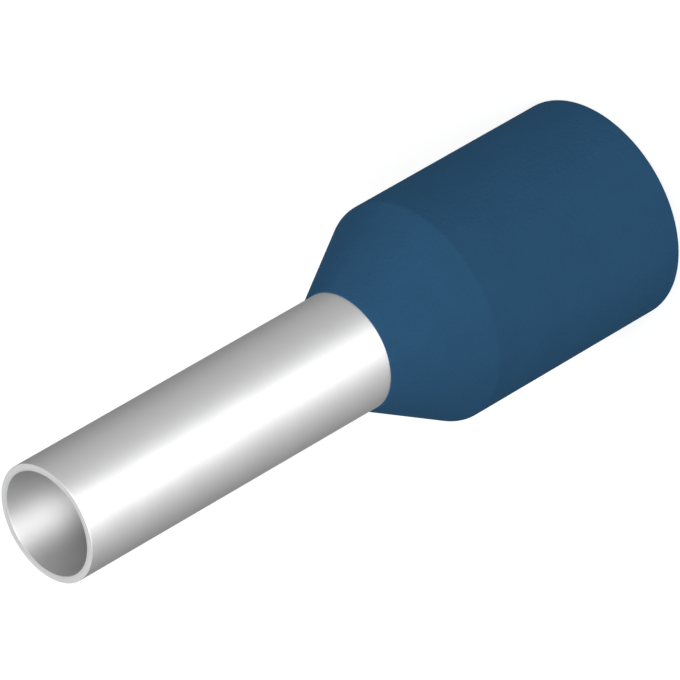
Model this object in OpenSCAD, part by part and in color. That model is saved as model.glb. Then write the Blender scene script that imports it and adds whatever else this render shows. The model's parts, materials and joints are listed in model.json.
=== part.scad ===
// Insulated wire ferrule. A thin plated sleeve takes the stripped end of a
// stranded wire, and a moulded collar takes the end of the wire's insulation.
// The sleeve's inner end is flared and seats in the collar's funnel, which
// also guides the strands into the sleeve.
// The origin is the centre of the collar's open end. The axis is +Z, and the
// sleeve's mouth is at the top.

/* [Sleeve] */
// Bore of the sleeve, for a conductor of 2.5 square millimetres
sleeve_bore_d = 2.2; // [1.8:0.1:2.6]
// Wall of the sleeve
sleeve_wall = 0.15; // [0.1:0.01:0.2]
// Length of sleeve that stands out of the collar's nose
sleeve_reach = 8; // [4:0.5:18]
// Gap between the edge of the sleeve's flare and the wall of the collar's bore
flare_gap = 0.35; // [0.2:0.05:0.5]
// Radius of the bend where the sleeve turns into its flare
bend_r = 0.9; // [0.4:0.1:1.2]
// Radius on the edges of the sleeve's two ends
sleeve_edge_r = 0.012; // [0.01:0.002:0.04]

/* [Collar] */
// Bore of the collar, for the insulation of the wire
collar_bore_d = 4.2; // [4:0.1:5]
// Wall of the collar round its bore
collar_wall = 0.25; // [0.2:0.01:0.4]
// Length of the collar from its open end to its nose
collar_length = 7; // [5:0.5:12]
// Angle between the nose's cone and the axis
cone_angle = 29.5; // [25:0.5:35]
// Distance from the end of the bore up to the foot of the cone
shoulder_rise = 0.1; // [0.05:0.05:0.4]
// Angle between the funnel and the axis
funnel_angle = 35; // [33:1:45]
// Width of the flat ring at the nose, round the sleeve
nose_land = 0.03; // [0.02:0.01:0.1]

/* [Collar edges] */
// Radius on the shoulder between the cone and the cylinder
shoulder_r = 0.1; // [0.05:0.05:0.2]
// Radius in the corner between the bore and the funnel
root_r = 0.1; // [0.05:0.05:0.2]
// Radius on the inner edge of the open end, which leads the insulation in
lead_in_r = 0.1; // [0.05:0.01:0.12]
// Radius on the outer edge of the open end
rim_r = 0.06; // [0.03:0.01:0.07]

/* [Hidden] */
sleeve_bore_r = sleeve_bore_d / 2;
sleeve_r = sleeve_bore_r + sleeve_wall;
collar_bore_r = collar_bore_d / 2;
collar_r = collar_bore_r + collar_wall;
overall_length = collar_length + sleeve_reach;

// Radius of the nose, and heights in the collar: the foot of its cone, the end
// of its bore, and the corner where the funnel meets the neck
nose_r = sleeve_r + nose_land;
cone_foot = collar_length - (collar_r - nose_r) / tan(cone_angle);
bore_end = cone_foot - shoulder_rise;
neck_foot = bore_end + (collar_bore_r - sleeve_r) / tan(funnel_angle);

// Faces round the axis and round a whole circle of a fillet
turn_faces = 128;
fillet_faces = 96;

// A profile is a list of corners, each [[radius, height], fillet radius],
// listed anticlockwise.
function place(corners, i) = corners[(i + len(corners)) % len(corners)][0];
function fillet(corners, i) = corners[i][1];

// Directions from one corner to the corner before it and the corner after it
function towards(from, to) = (to - from) / norm(to - from);
function back(corners, i) = towards(place(corners, i), place(corners, i - 1));
function ahead(corners, i) = towards(place(corners, i), place(corners, i + 1));

// Half the angle between those directions, and whether the corner points out
function half_angle(corners, i) = acos(back(corners, i) * ahead(corners, i)) / 2;
function points_out(corners, i) = cross(ahead(corners, i), back(corners, i)) > 0;

// The two ends of a corner's fillet, and the centre of its arc
function fillet_reach(corners, i) = fillet(corners, i) / tan(half_angle(corners, i));
function fillet_ends(corners, i) = [
    for (way = [back(corners, i), ahead(corners, i)])
        place(corners, i) + way * fillet_reach(corners, i)
];
function fillet_centre(corners, i) = place(corners, i)
    + towards([0, 0], back(corners, i) + ahead(corners, i))
    * fillet(corners, i) / sin(half_angle(corners, i));

// The sliver between a fillet's arc and its chord
module fillet_sliver(corners, i) {
    ends = fillet_ends(corners, i);
    intersection() {
        polygon([ends[0], place(corners, i), ends[1]]);
        translate(fillet_centre(corners, i))
            circle(r = fillet(corners, i), $fn = fillet_faces);
    }
}

// The profile with its corners cut to chords, then each sliver added at a
// corner that points out, or taken away at one that points in
module filleted(corners) {
    indices = [0 : len(corners) - 1];
    rounded = [for (i = indices) if (fillet(corners, i) > 0) i];
    difference() {
        union() {
            polygon([
                for (i = indices)
                    each fillet(corners, i) > 0 ? fillet_ends(corners, i) : [place(corners, i)]
            ]);
            for (i = rounded)
                if (points_out(corners, i)) fillet_sliver(corners, i);
        }
        for (i = rounded)
            if (!points_out(corners, i)) fillet_sliver(corners, i);
    }
}

module turned(corners) {
    rotate_extrude($fn = turn_faces) filleted(corners);
}

// The corner where a wall at this radius turns from the neck into the funnel.
// All such corners share the centre of the bend, so the flare keeps its wall.
function bend_corner(r) = [r, neck_foot + (r - sleeve_r) * tan(funnel_angle / 2)];

// The flare's outer edge lies on the funnel, and its end is square to its wall
flare_tip = [collar_bore_r - flare_gap, bore_end + flare_gap / tan(funnel_angle)];
flare_end = flare_tip - sleeve_wall * [cos(funnel_angle), sin(funnel_angle)];

module plastic_collar() {
    color([0.16, 0.31, 0.42])
        turned([
            [[sleeve_r, collar_length], 0],
            [bend_corner(sleeve_r), bend_r],
            [[collar_bore_r, bore_end], root_r],
            [[collar_bore_r, 0], lead_in_r],
            [[collar_r, 0], rim_r],
            [[collar_r, cone_foot], shoulder_r],
            [[nose_r, collar_length], 0]
        ]);
}

module metal_sleeve() {
    color([0.78, 0.78, 0.78])
        turned([
            [[sleeve_bore_r, overall_length], sleeve_edge_r],
            [bend_corner(sleeve_bore_r), bend_r + sleeve_wall],
            [flare_end, sleeve_edge_r],
            [flare_tip, sleeve_edge_r],
            [bend_corner(sleeve_r), bend_r],
            [[sleeve_r, overall_length], sleeve_edge_r]
        ]);
}

plastic_collar();
metal_sleeve();
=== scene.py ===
import json
import math

import bpy
import numpy as np
from mathutils import Matrix, Vector


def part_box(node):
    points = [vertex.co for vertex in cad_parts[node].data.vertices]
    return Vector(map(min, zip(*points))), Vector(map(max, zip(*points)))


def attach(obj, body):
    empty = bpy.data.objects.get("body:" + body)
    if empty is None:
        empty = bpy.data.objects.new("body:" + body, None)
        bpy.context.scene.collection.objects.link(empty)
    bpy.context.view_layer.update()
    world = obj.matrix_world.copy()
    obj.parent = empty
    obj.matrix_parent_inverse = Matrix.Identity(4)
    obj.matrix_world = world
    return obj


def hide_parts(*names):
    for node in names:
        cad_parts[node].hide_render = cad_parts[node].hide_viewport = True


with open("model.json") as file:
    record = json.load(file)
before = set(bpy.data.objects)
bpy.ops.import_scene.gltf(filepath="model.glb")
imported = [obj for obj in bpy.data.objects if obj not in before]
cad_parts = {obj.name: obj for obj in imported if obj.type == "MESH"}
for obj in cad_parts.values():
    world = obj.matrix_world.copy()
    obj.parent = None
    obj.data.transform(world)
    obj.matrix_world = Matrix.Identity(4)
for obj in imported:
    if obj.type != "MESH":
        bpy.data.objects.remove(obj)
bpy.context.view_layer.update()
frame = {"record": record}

mm = 0.001  # the scene is in metres, sizes below are written in millimetres
mounts = {m["name"]: m for m in frame["record"]["mounts"]}
sleeveBore = mounts["conductor_bore"]["dims"]["r_mm"] * mm
sleeveOuter = mounts["terminal_pin"]["dims"]["r_mm"] * mm
collarBore = mounts["insulation_bore"]["dims"]["r_mm"] * mm
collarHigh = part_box("plastic_collar")[1]  # the upper corner of each box
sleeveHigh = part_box("metal_sleeve")[1]
collarOuter = collarHigh.x
print("frame loaded, ferrule", round(sleeveHigh.z / mm, 3), "mm long")


# Shapes

sharpTurn = math.radians(30)  # two edges of a profile that turn by more meet at a sharp corner


# Unit vector from one point of a profile to another
def towards(start, end):
    return (end - start) / np.linalg.norm(end - start)


# Points along a straight stretch: start + (end - start) * t, t in even steps no longer than step
def straight(start, end, step):
    count = max(1, math.ceil(np.linalg.norm(end - start) / step))
    t = np.arange(count + 1)[:, None] / count
    return start + (end - start) * t


# Points round a fillet: centre + radius * (unit vector turned from the first normal to the last).
# The centre lies on the bisector, radius / sin(half angle) from the corner. A corner without
# a radius stays one point.
def fillet(before, corner, after, radius, steps):
    if radius == 0:
        return corner[None, :]
    back, ahead = towards(corner, before), towards(corner, after)
    half = math.acos(float(np.clip(back @ ahead, -1, 1))) / 2
    centre = corner + towards(np.zeros(2), back + ahead) * radius / math.sin(half)
    first = corner + back * radius / math.tan(half) - centre
    last = corner + ahead * radius / math.tan(half) - centre
    sweep = math.atan2(first[0] * last[1] - first[1] * last[0], first @ last)
    turn = np.linspace(0, sweep, steps + 1)[:, None]
    across = np.array([-first[1], first[0]])
    return centre + first * np.cos(turn) + across * np.sin(turn)


# A closed profile from corners [radius, height, fillet radius], listed anticlockwise:
# each fillet's arc in turn, then the straight to the next one
def roundedProfile(corners, step, filletSteps):
    places = np.array([c[:2] for c in corners], float)
    count = len(corners)
    arcs = []
    for i, corner in enumerate(corners):
        before, after = places[i - 1], places[(i + 1) % count]
        arcs.append(fillet(before, places[i], after, corner[2], filletSteps))
    stretches = []
    for i in range(count):
        stretches.append(arcs[i][:-1])
        stretches.append(straight(arcs[i][-1], arcs[(i + 1) % count][0], step)[:-1])
    return np.concatenate(stretches)


# Outward normals of a closed anticlockwise profile, at the start and at the end of each edge:
# the sum of the directions of the two edges that meet there, turned a quarter turn clockwise.
# At a sharp corner, where they turn by more than sharpTurn, each edge keeps its own.
def profileNormals(profile):
    edge = np.roll(profile, -1, axis=0) - profile
    edge /= np.linalg.norm(edge, axis=1)[:, None]
    before = np.roll(edge, 1, axis=0)
    sharp = ((edge * before).sum(axis=1) < math.cos(sharpTurn))[:, None]
    along = (edge + before) / np.linalg.norm(edge + before, axis=1)[:, None]
    start = np.where(sharp, edge, along)
    end = np.roll(np.where(sharp, before, along), -1, axis=0)
    return [np.stack([way[:, 1], -way[:, 0]], axis=1) for way in (start, end)]


# A profile turned round the axis: the point (radius, height) at angle a is
# (radius cos a, radius sin a, height), on a grid that closes both ways
def turnedPiece(name, profile, turns):
    angle = np.arange(turns) * 2 * math.pi / turns

    def revolve(pairs):
        x = np.cos(angle)[:, None] * pairs[None, :, 0]
        y = np.sin(angle)[:, None] * pairs[None, :, 0]
        z = np.broadcast_to(pairs[None, :, 1], x.shape)
        return np.stack([x, y, z], axis=-1).reshape(-1, 3)

    rings = len(profile)
    j, k = np.meshgrid(np.arange(turns), np.arange(rings), indexing="ij")
    jNext, kNext = (j + 1) % turns, (k + 1) % rings
    faces = np.stack([j * rings + k, jNext * rings + k,
                      jNext * rings + kNext, j * rings + kNext], axis=-1).reshape(-1, 4)
    mesh = bpy.data.meshes.new(name)
    mesh.from_pydata(revolve(profile), [], faces.tolist())
    mesh.polygons.foreach_set("use_smooth", np.ones(len(faces), bool))
    starts, ends = [revolve(pairs) for pairs in profileNormals(profile)]
    left, right = faces[:, 0], faces[:, 1]
    normals = np.stack([starts[left], starts[right], ends[right], ends[left]], axis=1)
    mesh.normals_split_custom_set(normals.reshape(-1, 3).tolist())
    piece = bpy.data.objects.new(name, mesh)
    bpy.context.scene.collection.objects.link(piece)
    print(name, "made,", 2 * len(faces), "triangles")
    return piece


# Shader helpers

# One node with its settings and the values of its sockets; a value that is a socket is linked
def addNode(tree, kind, values=None, **settings):
    made = tree.nodes.new(kind)
    for key, value in settings.items():
        setattr(made, key, value)
    for key, value in (values or {}).items():
        if isinstance(value, bpy.types.NodeSocket):
            tree.links.new(value, made.inputs[key])
        else:
            made.inputs[key].default_value = value
    return made


# A value from 0 to 1 moved to the range from low to high
def ranged(tree, value, low, high):
    return addNode(tree, "ShaderNodeMapRange",
                   {"Value": value, "To Min": low, "To Max": high}).outputs["Result"]


# A new material with an empty node tree, and its output
def newMaterial(name):
    material = bpy.data.materials.new(name)
    material.use_nodes = True
    material.node_tree.nodes.clear()
    output = material.node_tree.nodes.new("ShaderNodeOutputMaterial")
    return material, material.node_tree, output


surfaceGrain = {"blotchDetail": 2.0, "grainDetail": 3.0, "noiseLow": 0.3, "noiseHigh": 0.7}


# Fine surface variation, used by both finishes: soft blotches and a fine grain, each a noise
# of its own scale, spread from 0 to 1
def makeGrainGroup():
    group = bpy.data.node_groups.new("surfaceGrain", "ShaderNodeTree")
    for name, kind in (("Vector", "NodeSocketVector"), ("Blotch Scale", "NodeSocketFloat"),
                       ("Grain Scale", "NodeSocketFloat")):
        group.interface.new_socket(name, in_out="INPUT", socket_type=kind)
    for name in ("Blotch", "Grain"):
        group.interface.new_socket(name, in_out="OUTPUT", socket_type="NodeSocketFloat")
    inside = addNode(group, "NodeGroupInput")
    outside = addNode(group, "NodeGroupOutput")
    for name, detail in (("Blotch", surfaceGrain["blotchDetail"]),
                         ("Grain", surfaceGrain["grainDetail"])):
        noise = addNode(group, "ShaderNodeTexNoise",
                        {"Vector": inside.outputs["Vector"],
                         "Scale": inside.outputs[name + " Scale"], "Detail": detail})
        spread = addNode(group, "ShaderNodeMapRange",
                         {"Value": noise.outputs["Fac"], "From Min": surfaceGrain["noiseLow"],
                          "From Max": surfaceGrain["noiseHigh"]})
        group.links.new(spread.outputs["Result"], outside.inputs[name])
    return group


# Position for marks that follow a turned wall: the point's direction from the axis times
# around, plus its height times along. A small around draws a mark out round the axis, and a
# small along draws it out lengthwise.
def wallPosition(tree, around, along):
    place = addNode(tree, "ShaderNodeTexCoord").outputs["Object"]
    parts = addNode(tree, "ShaderNodeSeparateXYZ", {"Vector": place})
    flat = addNode(tree, "ShaderNodeCombineXYZ",
                   {"X": parts.outputs["X"], "Y": parts.outputs["Y"]})
    unit = addNode(tree, "ShaderNodeVectorMath", {0: flat.outputs["Vector"]},
                   operation="NORMALIZE")
    ring = addNode(tree, "ShaderNodeVectorMath", {0: unit.outputs["Vector"], "Scale": around},
                   operation="SCALE")
    height = addNode(tree, "ShaderNodeMath", {0: parts.outputs["Z"], 1: along},
                     operation="MULTIPLY")
    lift = addNode(tree, "ShaderNodeCombineXYZ", {"Z": height.outputs["Value"]})
    return addNode(tree, "ShaderNodeVectorMath",
                   {0: ring.outputs["Vector"], 1: lift.outputs["Vector"]},
                   operation="ADD").outputs["Vector"]


grainGroup = makeGrainGroup()


# The collar, a moulded sleeve of dull blue plastic with a coned nose

collar = {
    "coneAngle": 29.5, "funnelAngle": 35.0,  # degrees from the axis
    "shoulderRise": 0.1 * mm, "noseLand": 0.03 * mm,
    "shoulderFillet": 0.1 * mm, "rootFillet": 0.1 * mm, "bendFillet": 0.9 * mm,
    "leadInFillet": 0.1 * mm, "rimFillet": 0.06 * mm, "noseFillet": 0.008 * mm,
    "step": 0.15 * mm, "filletSteps": 10, "turns": 256,
    "colour": (0.0235, 0.0790, 0.1570), "colourShift": 0.04,
    "roughness": (0.72, 0.82), "specular": 0.004,
    "blotchScale": 900.0, "grainScale": 14000.0, "grainHeight": 0.009 * mm,
    "streakScale": 2500.0, "streakSqueeze": 0.04, "streakDetail": 2.0,
    "shadeSpread": (0.4, 1.6),  # what blotches and streaks together come to
}
tanCone = math.tan(math.radians(collar["coneAngle"]))
tanFunnel = math.tan(math.radians(collar["funnelAngle"]))
noseRadius = sleeveOuter + collar["noseLand"]
coneFoot = collarHigh.z - (collarOuter - noseRadius) / tanCone
boreEnd = coneFoot - collar["shoulderRise"]
neckFoot = boreEnd + (collarBore - sleeveOuter) / tanFunnel


# The corner where a wall at this radius turns from the neck into the funnel. All such
# corners share the centre of the bend.
def bendCorner(radius):
    half = math.radians(collar["funnelAngle"]) / 2
    return [radius, neckFoot + (radius - sleeveOuter) * math.tan(half)]


def makeCollar():
    profile = roundedProfile([
        [sleeveOuter, collarHigh.z, 0],
        [*bendCorner(sleeveOuter), collar["bendFillet"]],
        [collarBore, boreEnd, collar["rootFillet"]],
        [collarBore, 0, collar["leadInFillet"]],
        [collarOuter, 0, collar["rimFillet"]],
        [collarOuter, coneFoot, collar["shoulderFillet"]],
        [noseRadius, collarHigh.z, collar["noseFillet"]],
    ], collar["step"], collar["filletSteps"])
    return turnedPiece("collar", profile, collar["turns"])


# Dull blue plastic: base colour shaded lightly by soft blotches and by faint streaks that run
# lengthwise, a fine moulded grain as bump
def collarPlastic():
    material, tree, output = newMaterial("collarPlastic")
    place = addNode(tree, "ShaderNodeTexCoord").outputs["Object"]
    grain = addNode(tree, "ShaderNodeGroup", node_tree=grainGroup)
    tree.links.new(place, grain.inputs["Vector"])
    grain.inputs["Blotch Scale"].default_value = collar["blotchScale"]
    grain.inputs["Grain Scale"].default_value = collar["grainScale"]
    streakPlace = wallPosition(tree, collarOuter, collar["streakSqueeze"])
    streak = addNode(tree, "ShaderNodeTexNoise",
                     {"Vector": streakPlace, "Scale": collar["streakScale"],
                      "Detail": collar["streakDetail"]})
    both = addNode(tree, "ShaderNodeMath",
                   {0: grain.outputs["Blotch"], 1: streak.outputs["Fac"]}, operation="ADD")
    least, most = collar["shadeSpread"]
    shade = addNode(tree, "ShaderNodeMapRange",
                    {"Value": both.outputs["Value"], "From Min": least, "From Max": most,
                     "To Min": 1 - collar["colourShift"], "To Max": 1 + collar["colourShift"]})
    colour = addNode(tree, "ShaderNodeVectorMath",
                     {0: collar["colour"], "Scale": shade.outputs["Result"]},
                     operation="SCALE")
    bump = addNode(tree, "ShaderNodeBump",
                   {"Strength": 1.0, "Distance": collar["grainHeight"],
                    "Height": grain.outputs["Grain"]})
    shader = addNode(tree, "ShaderNodeBsdfPrincipled",
                     {"Base Color": colour.outputs["Vector"],
                      "Roughness": ranged(tree, grain.outputs["Blotch"], *collar["roughness"]),
                      "Specular IOR Level": collar["specular"],
                      "Normal": bump.outputs["Normal"]})
    tree.links.new(shader.outputs["BSDF"], output.inputs["Surface"])
    return material


collarPiece = makeCollar()
collarPiece.data.materials.append(collarPlastic())
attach(collarPiece, "root")
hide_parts("plastic_collar")


# The sleeve, a drawn and plated tube whose inner end is flared into the funnel

sleeve = {
    "edgeFillet": 0.012 * mm, "flareGap": 0.35 * mm,
    "step": 0.15 * mm, "filletSteps": 10, "turns": 256,
    "colour": (0.60, 0.60, 0.602), "edgeTint": (0.2, 0.2, 0.2), "colourShift": 0.012,
    "roughness": (0.474, 0.486), "anisotropy": 0.8, "anisotropyTurn": 0.25,  # of a whole turn
    # the bore's shade factor darkens its colour as painted shade in the recess
    "boreDulling": 0.14, "borePaintedShade": 0.75, "boreMetal": 0.80,
    "blotchScale": 1200.0, "grainScale": 16000.0, "grainHeight": 0.0004 * mm,
    "lineScale": 9000.0, "lineSqueeze": 0.02, "lineDetail": 3.0, "lineHeight": 0.0015 * mm,
    "cutEndSlope": 0.8,  # least height of a unit normal on the cut ends
}


# The sleeve's wall, from the mouth down to the flare and back up. The flare's tip lies on the
# funnel, and its end is square to its wall.
def makeSleeve():
    wall = sleeveOuter - sleeveBore
    angle = math.radians(collar["funnelAngle"])
    tip = [collarBore - sleeve["flareGap"], boreEnd + sleeve["flareGap"] / tanFunnel]
    end = [tip[0] - wall * math.cos(angle), tip[1] - wall * math.sin(angle)]
    edge = sleeve["edgeFillet"]
    profile = roundedProfile([
        [sleeveBore, sleeveHigh.z, edge],
        [*bendCorner(sleeveBore), collar["bendFillet"] + wall],
        [*end, edge],
        [*tip, edge],
        [*bendCorner(sleeveOuter), collar["bendFillet"]],
        [sleeveOuter, sleeveHigh.z, edge],
    ], sleeve["step"], sleeve["filletSteps"])
    return turnedPiece("sleeve", profile, sleeve["turns"])


# 1 on the wall of the bore, 0 outside it, from the distance to the axis across half the wall
def boreMask(tree):
    place = addNode(tree, "ShaderNodeTexCoord").outputs["Object"]
    flat = addNode(tree, "ShaderNodeVectorMath", {0: place, 1: (1, 1, 0)}, operation="MULTIPLY")
    radius = addNode(tree, "ShaderNodeVectorMath", {0: flat.outputs["Vector"]},
                     operation="LENGTH").outputs["Value"]
    middle = (sleeveBore + sleeveOuter) / 2
    return addNode(tree, "ShaderNodeMapRange",
                   {"Value": radius, "From Min": middle, "From Max": sleeveBore}
                   ).outputs["Result"]


# Satin tin plate: pale grey metal, its tone and roughness moved by soft blotches, with fine
# lines that run round the tube and a faint grain as bump. The anisotropy draws reflections
# out lengthwise, and is 0 on the cut ends. The bore is duller and less metallic, and its
# colour there is darkened as painted shade.
def tinPlate(name, anisotropy):
    material, tree, output = newMaterial(name)
    place = addNode(tree, "ShaderNodeTexCoord").outputs["Object"]
    grain = addNode(tree, "ShaderNodeGroup", node_tree=grainGroup)
    tree.links.new(place, grain.inputs["Vector"])
    grain.inputs["Blotch Scale"].default_value = sleeve["blotchScale"]
    grain.inputs["Grain Scale"].default_value = sleeve["grainScale"]
    linePlace = wallPosition(tree, sleeveOuter * sleeve["lineSqueeze"], 1.0)
    lines = addNode(tree, "ShaderNodeTexNoise",
                    {"Vector": linePlace, "Scale": sleeve["lineScale"],
                     "Detail": sleeve["lineDetail"]})
    inner = boreMask(tree)
    mottle = ranged(tree, grain.outputs["Blotch"],
                    1 - sleeve["colourShift"], 1 + sleeve["colourShift"])
    # The blotches' random tone, times painted shade that darkens the colour inside the bore
    shade = addNode(tree, "ShaderNodeMath",
                    {0: mottle, 1: ranged(tree, inner, 1.0, sleeve["borePaintedShade"])},
                    operation="MULTIPLY")
    colour = addNode(tree, "ShaderNodeVectorMath",
                     {0: sleeve["colour"], "Scale": shade.outputs["Value"]},
                     operation="SCALE")
    lineBump = addNode(tree, "ShaderNodeBump",
                       {"Strength": 1.0, "Distance": sleeve["lineHeight"],
                        "Height": lines.outputs["Fac"]})
    bump = addNode(tree, "ShaderNodeBump",
                   {"Strength": 1.0, "Distance": sleeve["grainHeight"],
                    "Height": grain.outputs["Grain"], "Normal": lineBump.outputs["Normal"]})
    around = addNode(tree, "ShaderNodeTangent", direction_type="RADIAL", axis="Z")
    rough = ranged(tree, grain.outputs["Blotch"], *sleeve["roughness"])
    dulled = addNode(tree, "ShaderNodeMath",
                     {0: inner, 1: sleeve["boreDulling"], 2: rough}, operation="MULTIPLY_ADD")
    shader = addNode(tree, "ShaderNodeBsdfPrincipled",
                     {"Base Color": colour.outputs["Vector"],
                      "Metallic": ranged(tree, inner, 1.0, sleeve["boreMetal"]),
                      "Roughness": dulled.outputs["Value"],
                      "Specular Tint": (*sleeve["edgeTint"], 1.0),
                      "Anisotropic": anisotropy,
                      "Anisotropic Rotation": sleeve["anisotropyTurn"],
                      "Tangent": around.outputs["Tangent"],
                      "Normal": bump.outputs["Normal"]}, distribution="GGX")
    tree.links.new(shader.outputs["BSDF"], output.inputs["Surface"])
    return material


sleevePiece = makeSleeve()
sleevePiece.data.materials.append(tinPlate("tinPlate", sleeve["anisotropy"]))
sleevePiece.data.materials.append(tinPlate("tinPlateCutEnd", 0.0))
facing = np.empty((len(sleevePiece.data.polygons), 3), np.float32)
sleevePiece.data.polygons.foreach_get("normal", facing.ravel())
cut = (np.abs(facing[:, 2]) > sleeve["cutEndSlope"]).astype(np.int32)
sleevePiece.data.polygons.foreach_set("material_index", cut)
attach(sleevePiece, "root")
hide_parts("metal_sleeve")


# Studio: pale floor and white surround, soft lamps, bright arcs, and the camera

white = (1, 1, 1, 1)
studio = {
    "skyForLight": 0.30, "floorHalf": 0.5, "floorColour": 0.5, "floorLift": 0.65,
    "floorGlow": 0.66, "floorMirrored": (0.88, 0.53), "floorFade": (-15 * mm, 15 * mm),
    "arcDistance": 0.45, "arcColumns": 60, "arcRows": 4, "lampDistance": 0.35,
}
lamps = {
    "keyLamp": {"azimuth": -10.0, "elevation": 40.0, "width": 0.25, "height": 0.14,
                "power": 0.89, "mirrored": True},
    "sideLamp": {"azimuth": 105.0, "elevation": 50.0, "width": 0.16, "height": 0.14,
                 "power": 0.28, "mirrored": False},
    "backLamp": {"azimuth": 190.0, "elevation": 25.0, "width": 0.16, "height": 0.14,
                 "power": 0.20, "mirrored": False},
}
arcs = {
    "frontArc": {"azimuth": -18.0, "halfWidth": 80.0, "spread": 27.5,
                 "low": 22.0, "high": 62.0, "strength": 11.6},
    "backArc": {"azimuth": 180.0, "halfWidth": 27.0, "spread": 9.0,
                "low": 1.0, "high": 12.0, "strength": 6.0},
}


# 1 for rays from the camera and for those that metal or glass sends on, 0 for the rest
def seenDirectly(tree):
    path = addNode(tree, "ShaderNodeLightPath")
    first = addNode(tree, "ShaderNodeMath",
                    {0: path.outputs["Is Camera Ray"], 1: path.outputs["Is Glossy Ray"]},
                    operation="MAXIMUM")
    return addNode(tree, "ShaderNodeMath",
                   {0: first.outputs["Value"], 1: path.outputs["Is Transmission Ray"]},
                   operation="MAXIMUM").outputs["Value"]


# Unit vector from the object towards an azimuth and elevation in degrees. Azimuth 0 is -Y,
# the camera's side, and grows towards +X.
def direction(azimuth, elevation):
    a, e = math.radians(azimuth), math.radians(elevation)
    return Vector((math.sin(a) * math.cos(e), -math.cos(a) * math.cos(e), math.sin(e)))


# A surround that is white where it is seen, and dimmer as light on the object
def makeSurround():
    world = bpy.data.worlds.new("paleSurround")
    world.use_nodes = True
    tree = world.node_tree
    tree.nodes.clear()
    strength = ranged(tree, seenDirectly(tree), studio["skyForLight"], 1.0)
    background = addNode(tree, "ShaderNodeBackground", {"Color": white, "Strength": strength})
    addNode(tree, "ShaderNodeOutputWorld", {"Surface": background.outputs["Background"]})
    bpy.context.scene.world = world


# A pale floor that glows evenly for the object, as a light table does, so that the open end
# is lit too; metal shows it fading to the back. Seen directly it is lit by the lamps and
# lifted to white, and keeps the shadow. From below it is clear, to show the underside.
def makeFloor():
    half = studio["floorHalf"]
    mesh = bpy.data.meshes.new("floor")
    mesh.from_pydata([(-half, -half, 0), (half, -half, 0), (half, half, 0), (-half, half, 0)],
                     [], [(0, 1, 2, 3)])
    floor = bpy.data.objects.new("floor", mesh)
    bpy.context.scene.collection.objects.link(floor)
    material, tree, output = newMaterial("paleFloor")
    seen = addNode(tree, "ShaderNodeLightPath").outputs["Is Camera Ray"]
    place = addNode(tree, "ShaderNodeTexCoord").outputs["Object"]
    parts = addNode(tree, "ShaderNodeSeparateXYZ", {"Vector": place})
    front, back = studio["floorFade"]
    fade = addNode(tree, "ShaderNodeMapRange",
                   {"Value": parts.outputs["Y"], "From Min": front, "From Max": back,
                    "To Min": studio["floorMirrored"][0], "To Max": studio["floorMirrored"][1]})
    forObject = ranged(tree, seenDirectly(tree), studio["floorGlow"], fade.outputs["Result"])
    strength = ranged(tree, seen, forObject, studio["floorLift"])
    glow = addNode(tree, "ShaderNodeEmission", {"Color": white, "Strength": strength})
    plain = addNode(tree, "ShaderNodeBsdfDiffuse",
                    {"Color": ranged(tree, seen, 0.0, studio["floorColour"])})
    top = addNode(tree, "ShaderNodeAddShader", {0: glow.outputs[0], 1: plain.outputs[0]})
    clear = addNode(tree, "ShaderNodeBsdfTransparent")
    below = addNode(tree, "ShaderNodeNewGeometry").outputs["Backfacing"]
    both = addNode(tree, "ShaderNodeMixShader",
                   {0: below, 1: top.outputs[0], 2: clear.outputs[0]})
    tree.links.new(both.outputs[0], output.inputs["Surface"])
    mesh.materials.append(material)


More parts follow.
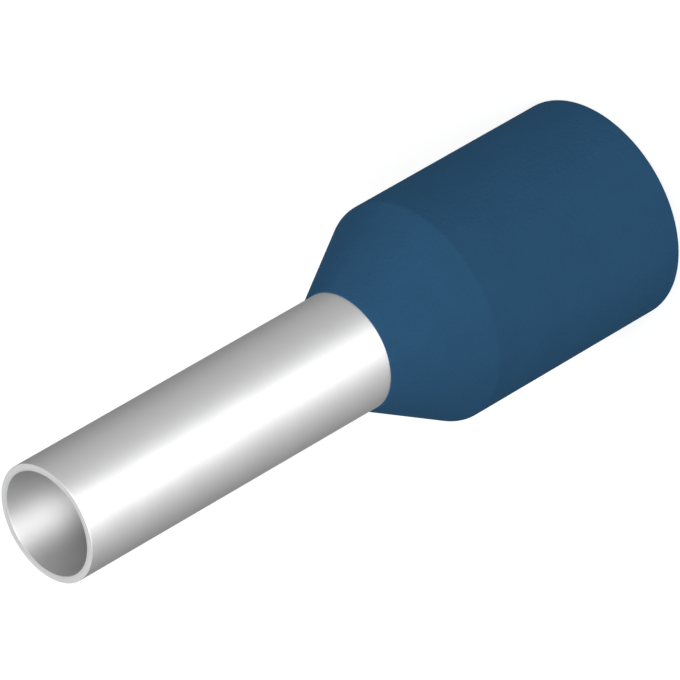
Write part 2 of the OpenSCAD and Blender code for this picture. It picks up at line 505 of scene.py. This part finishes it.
# A bright arc, seen only in reflections: part of a sphere round the object, its light falling
# off to both sides as a bell curve of the azimuth over its spread
def makeArc(name, azimuth, halfWidth, spread, low, high, strength):
    columns, rows = studio["arcColumns"] + 1, studio["arcRows"] + 1
    aside = np.linspace(-halfWidth, halfWidth, columns)
    around = np.radians(azimuth + aside)[:, None]
    above = np.radians(np.linspace(low, high, rows))[None, :]
    points = np.stack([np.sin(around) * np.cos(above), -np.cos(around) * np.cos(above),
                       np.broadcast_to(np.sin(above), (columns, rows))], axis=-1)
    i, k = np.meshgrid(np.arange(columns - 1), np.arange(rows - 1), indexing="ij")
    first = i * rows + k
    faces = np.stack([first, first + 1, first + rows + 1, first + rows], axis=-1).reshape(-1, 4)
    mesh = bpy.data.meshes.new(name)
    mesh.from_pydata(points.reshape(-1, 3) * studio["arcDistance"], [], faces.tolist())
    fall = mesh.attributes.new("fall", "FLOAT", "POINT")
    bell = np.exp(-0.5 * (aside / spread) ** 2)
    fall.data.foreach_set("value", np.repeat(bell, rows).astype(np.float32))
    arc = bpy.data.objects.new(name, mesh)
    bpy.context.scene.collection.objects.link(arc)
    material, tree, output = newMaterial(name + "Light")
    light = addNode(tree, "ShaderNodeAttribute", attribute_name="fall").outputs["Fac"]
    level = ranged(tree, light, 1.0, strength)
    glow = addNode(tree, "ShaderNodeEmission", {"Color": white, "Strength": level})
    tree.links.new(glow.outputs[0], output.inputs["Surface"])
    mesh.materials.append(material)
    for ray in ("camera", "diffuse", "transmission", "shadow", "volume_scatter"):
        setattr(arc, "visible_" + ray, False)


# A soft lamp, wider than it is high, on a sphere round the object and turned to it
def makeLamp(name, azimuth, elevation, width, height, power, mirrored):
    light = bpy.data.lights.new(name, "AREA")
    light.shape, light.energy = "RECTANGLE", power
    light.size, light.size_y = width, height
    lamp = bpy.data.objects.new(name, light)
    back = direction(azimuth, elevation)
    lamp.location = Vector((0, 0, sleeveHigh.z / 2)) + back * studio["lampDistance"]
    lamp.rotation_euler = (-back).to_track_quat("-Z", "Y").to_euler()
    lamp.visible_camera = False
    lamp.visible_glossy = mirrored
    bpy.context.scene.collection.objects.link(lamp)


cameraSet = {
    "aim": (0.242 * mm, 0, 6.969 * mm), "distance": 175.21 * mm,
    "elevation": 35.395, "roll": -119.94,  # degrees
    "lens": 477.24, "sensor": 36.0, "nearest": 10 * mm, "farthest": 10000 * mm,
}


# The camera looks at the aim point from the front and above, rolled about its view axis
def makeCamera():
    back = direction(0, cameraSet["elevation"])
    level = Vector((1, 0, 0))
    upright = back.cross(level)
    roll = math.radians(cameraSet["roll"])
    right = level * math.cos(roll) + upright * math.sin(roll)
    up = upright * math.cos(roll) - level * math.sin(roll)
    data = bpy.data.cameras.new("camera")
    data.lens, data.sensor_width = cameraSet["lens"], cameraSet["sensor"]
    data.clip_start, data.clip_end = cameraSet["nearest"], cameraSet["farthest"]
    camera = bpy.data.objects.new("camera", data)
    place = Vector(cameraSet["aim"]) + back * cameraSet["distance"]
    turn = Matrix((right, up, back)).transposed().to_4x4()
    camera.matrix_world = Matrix.Translation(place) @ turn
    bpy.context.scene.collection.objects.link(camera)
    bpy.context.scene.camera = camera


makeSurround()
makeFloor()
for arcName, arcShape in arcs.items():
    makeArc(arcName, **arcShape)
for lampName, lampShape in lamps.items():
    makeLamp(lampName, **lampShape)
makeCamera()
bpy.context.scene.view_settings.view_transform = "Standard"
print("studio and camera set")
